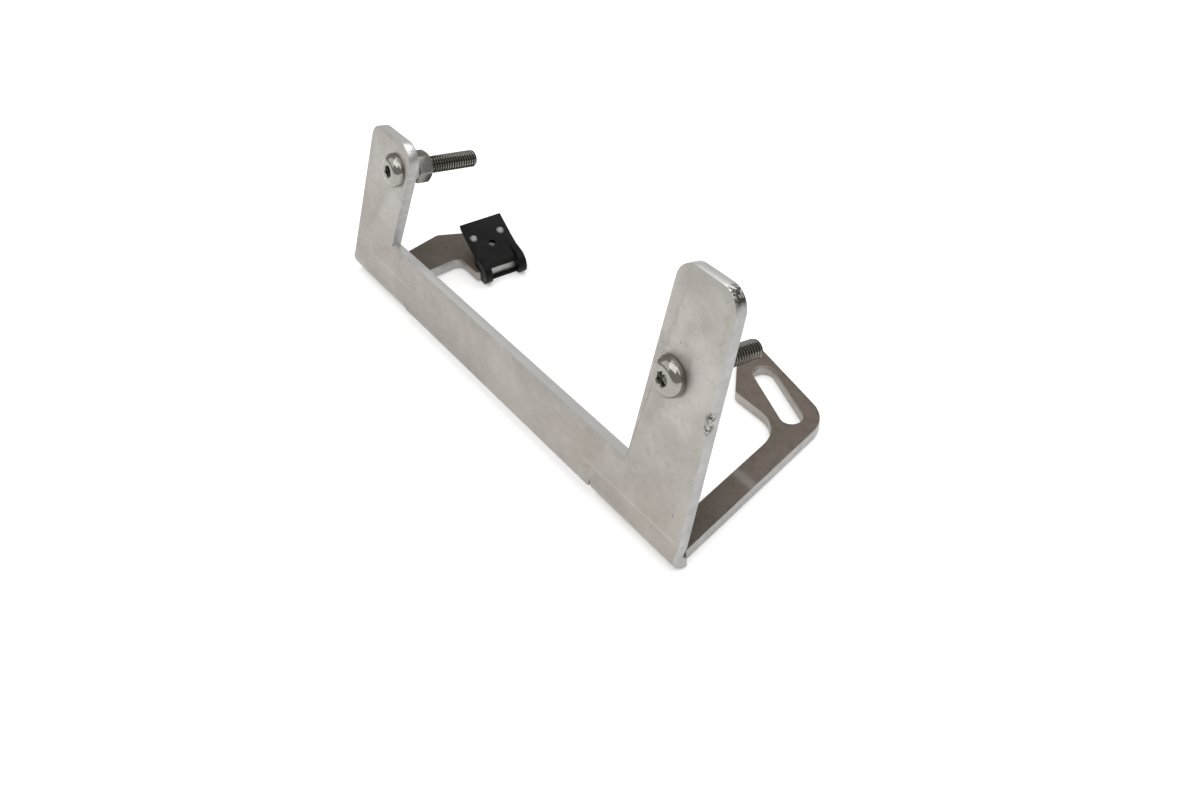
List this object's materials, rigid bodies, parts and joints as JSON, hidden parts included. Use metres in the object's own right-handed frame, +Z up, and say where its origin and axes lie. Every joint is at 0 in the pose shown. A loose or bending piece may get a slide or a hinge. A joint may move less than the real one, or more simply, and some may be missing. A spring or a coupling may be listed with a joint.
{
  "type": "bent sheet mounting bracket with stud screws",
  "caption": "Bent sheet-metal bracket: leaning plate with unequal uprights carrying stud screws and nuts, folded arms with a slotted foot and a push-on black clip.",
  "frame": {"origin": "centre of the bounding box's footprint, at floor level, with the folded arms lying flat", "axes": "+X along the plate to the right seen from the front, +Y towards the ends of the arms, +Z up"},
  "size_m": [0.1595, 0.0686, 0.0732],
  "materials": {
    "sheet_aluminium": "satin, lightly scratched mill finish",
    "screw_steel": "polished stainless",
    "nut_steel": "satin stainless",
    "clip_plastic": "satin black",
    "strip_steel": "satin",
    "rivet_steel": "bright"
  },
  "bodies": {
    "frame": {"bracket": "sheet_aluminium", "left_washer": "nut_steel", "right_washer": "nut_steel"},
    "left_screw": {"left_screw": "screw_steel"},
    "right_screw": {"right_screw": "screw_steel"},
    "left_nut": {"left_nut": "nut_steel"},
    "right_nut": {"right_nut": "nut_steel"},
    "clip": {"clip_body": "clip_plastic", "clip_strip": "strip_steel", "clip_rivets": "rivet_steel"}
  },
  "joints": [
    {"name": "left_screw_spin", "type": "hinge", "parent": "frame", "child": "left_screw", "pos_m": [-0.05415, -0.02579, 0.04341], "axis": [0, -0.9781, 0.2079], "range_deg": [0, 6850]},
    {"name": "right_screw_spin", "type": "hinge", "parent": "frame", "child": "right_screw", "pos_m": [0.06585, -0.02498, 0.04722], "axis": [0, -0.9781, 0.2079], "range_deg": [0, 6850]},
    {"name": "left_nut_travel", "type": "slide", "parent": "frame", "child": "left_nut", "axis": [0, 0.9781, -0.2079], "range_m": [0, 0.0152]},
    {"name": "right_nut_travel", "type": "slide", "parent": "frame", "child": "right_nut", "axis": [0, 0.9781, -0.2079], "range_m": [0, 0.0152]},
    {"name": "clip_slide", "type": "slide", "parent": "frame", "child": "clip", "axis": [0.9916, -0.1293, 0], "range_m": [0, 0.012]}
  ],
  "couplings": [
    {"joint": "left_screw_spin", "follows": "left_nut_travel", "rad_per_m": 7854},
    {"joint": "right_screw_spin", "follows": "right_nut_travel", "rad_per_m": 7854}
  ]
}
